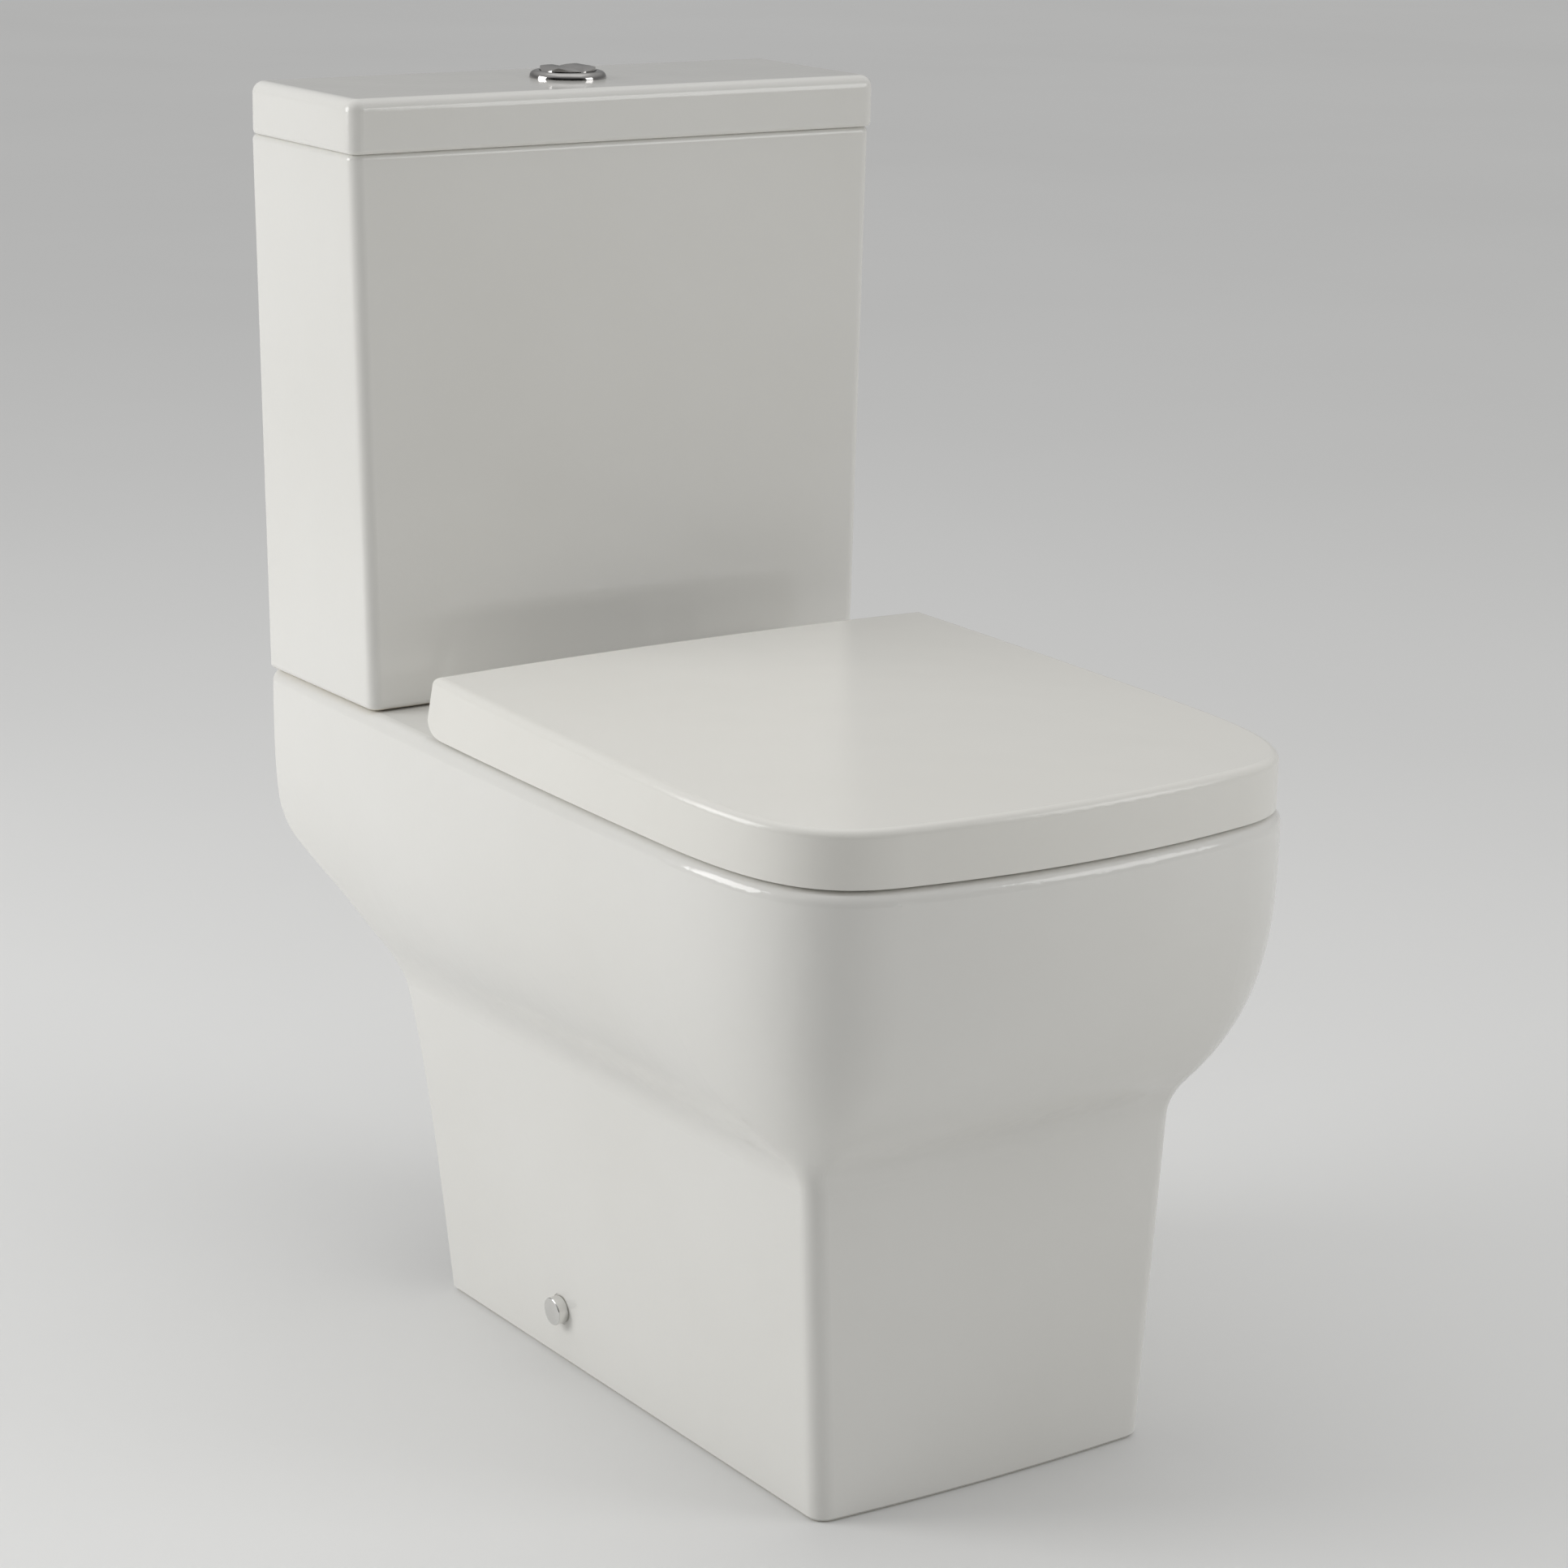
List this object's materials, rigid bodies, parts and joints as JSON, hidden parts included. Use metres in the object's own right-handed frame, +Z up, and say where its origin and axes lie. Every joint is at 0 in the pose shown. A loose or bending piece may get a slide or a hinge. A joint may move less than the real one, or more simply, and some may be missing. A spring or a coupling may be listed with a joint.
{
  "type": "close coupled toilet",
  "caption": "Close coupled toilet: a floor standing china pan with a closed seat and lid, a cistern bolted on its deck and a dual flush button in the cistern lid.",
  "frame": {"origin": "on the floor, on the middle plane, halfway between the wall side of the cistern and the front of the pan", "axes": "+Z up, +Y towards the wall, +X to the right of someone who stands in front of the pan"},
  "size_m": [0.385, 0.6259, 0.786],
  "materials": {
    "china": "glossy white glaze",
    "seat_plastic": "gloss white",
    "chrome": "polished",
    "steel": "plain",
    "rubber": "matt black",
    "foam": "matt black foam",
    "buffer": "translucent white, matt",
    "valve_white": "satin",
    "valve_grey": "satin",
    "valve_blue": "satin"
  },
  "bodies": {
    "pan_and_cistern": {"pan": "china", "floor_brackets": "valve_grey", "side_screws": "steel", "side_caps": "chrome", "cistern": "china", "doughnut_seal": "foam", "cistern_bolts": "steel", "cistern_bolt_rubbers": "rubber", "cistern_bolt_washers": "steel", "cistern_wing_nuts": "valve_grey", "valve_base": "valve_white", "valve_base_washer": "rubber", "valve_back_nut": "valve_grey", "valve_cage": "valve_white", "valve_head": "valve_white", "rocker_pins": "steel", "fill_body": "valve_white", "fill_washer": "rubber", "fill_nut": "valve_grey", "fill_head_cap": "valve_white", "fill_lever_pin": "steel", "hinge_posts": "chrome", "hinge_pins": "steel", "seat_bolts": "steel", "seat_bushes": "rubber", "seat_wing_nuts": "valve_grey"},
    "cistern_cover": {"cistern_lid": "china", "button_bezel": "chrome", "button_nut": "valve_white", "full_spring": "steel", "half_spring": "steel"},
    "full_flush": {"full_button": "chrome", "full_push_rod": "valve_blue"},
    "half_flush": {"half_button": "chrome", "half_push_rod": "valve_blue"},
    "full_rocker": {"full_rocker": "valve_blue"},
    "half_rocker": {"half_rocker": "valve_blue"},
    "flush_tube": {"flush_tube": "valve_white", "flush_seal": "rubber"},
    "half_float": {"half_float": "valve_grey"},
    "fill_float": {"fill_float": "valve_grey", "fill_rod": "valve_blue"},
    "fill_lever": {"fill_lever": "valve_blue"},
    "seat_lid": {"seat_lid": "seat_plastic", "lid_buffers": "buffer"},
    "seat_ring": {"seat_ring": "seat_plastic", "ring_buffers": "buffer"}
  },
  "joints": [
    {"name": "lid_hinge", "type": "hinge", "parent": "pan_and_cistern", "child": "seat_lid", "pos_m": [0, 0.093, 0.427], "axis": [-1, 0, 0], "range_deg": [0, 100]},
    {"name": "ring_hinge", "type": "hinge", "parent": "pan_and_cistern", "child": "seat_ring", "pos_m": [0, 0.093, 0.427], "axis": [-1, 0, 0], "range_deg": [0, 96]},
    {"name": "cistern_lid_lift", "type": "slide", "parent": "pan_and_cistern", "child": "cistern_cover", "axis": [0, 0, 1], "range_m": [0, 0.12]},
    {"name": "full_flush_press", "type": "slide", "parent": "cistern_cover", "child": "full_flush", "axis": [0, 0, -1], "range_m": [0, 0.007], "stiffness_N_per_m": 800, "springref_m": -0.004, "deforming": ["full_spring"]},
    {"name": "half_flush_press", "type": "slide", "parent": "cistern_cover", "child": "half_flush", "axis": [0, 0, -1], "range_m": [0, 0.007], "stiffness_N_per_m": 800, "springref_m": -0.004, "deforming": ["half_spring"]},
    {"name": "full_rocker_turn", "type": "hinge", "parent": "pan_and_cistern", "child": "full_rocker", "pos_m": [-0.0105, 0.267, 0.688], "axis": [1, 0, 0], "range_deg": [0, 20.5]},
    {"name": "half_rocker_turn", "type": "hinge", "parent": "pan_and_cistern", "child": "half_rocker", "pos_m": [0.0105, 0.227, 0.688], "axis": [-1, 0, 0], "range_deg": [0, 20.5]},
    {"name": "flush_tube_lift", "type": "slide", "parent": "pan_and_cistern", "child": "flush_tube", "axis": [0, 0, 1], "range_m": [0, 0.01163]},
    {"name": "half_float_lift", "type": "slide", "parent": "pan_and_cistern", "child": "half_float", "axis": [0, 0, 1], "range_m": [0, 0.01163]},
    {"name": "fill_float_rise", "type": "slide", "parent": "pan_and_cistern", "child": "fill_float", "axis": [0, 0, 1], "range_m": [0, 0.012]},
    {"name": "fill_lever_turn", "type": "hinge", "parent": "pan_and_cistern", "child": "fill_lever", "pos_m": [0.139, 0.247, 0.672], "axis": [0, 1, 0], "range_deg": [0, 21.53]}
  ],
  "couplings": [
    {"joint": "ring_hinge", "follows": "lid_hinge", "ratio": 0.96},
    {"joint": "full_rocker_turn", "follows": "full_flush_press", "rad_per_m": 51.1},
    {"joint": "flush_tube_lift", "follows": "full_flush_press", "ratio": 1.66},
    {"joint": "half_rocker_turn", "follows": "half_flush_press", "rad_per_m": 51.1},
    {"joint": "half_float_lift", "follows": "half_flush_press", "ratio": 1.66},
    {"joint": "fill_lever_turn", "follows": "fill_float_rise", "rad_per_m": 31.3}
  ]
}
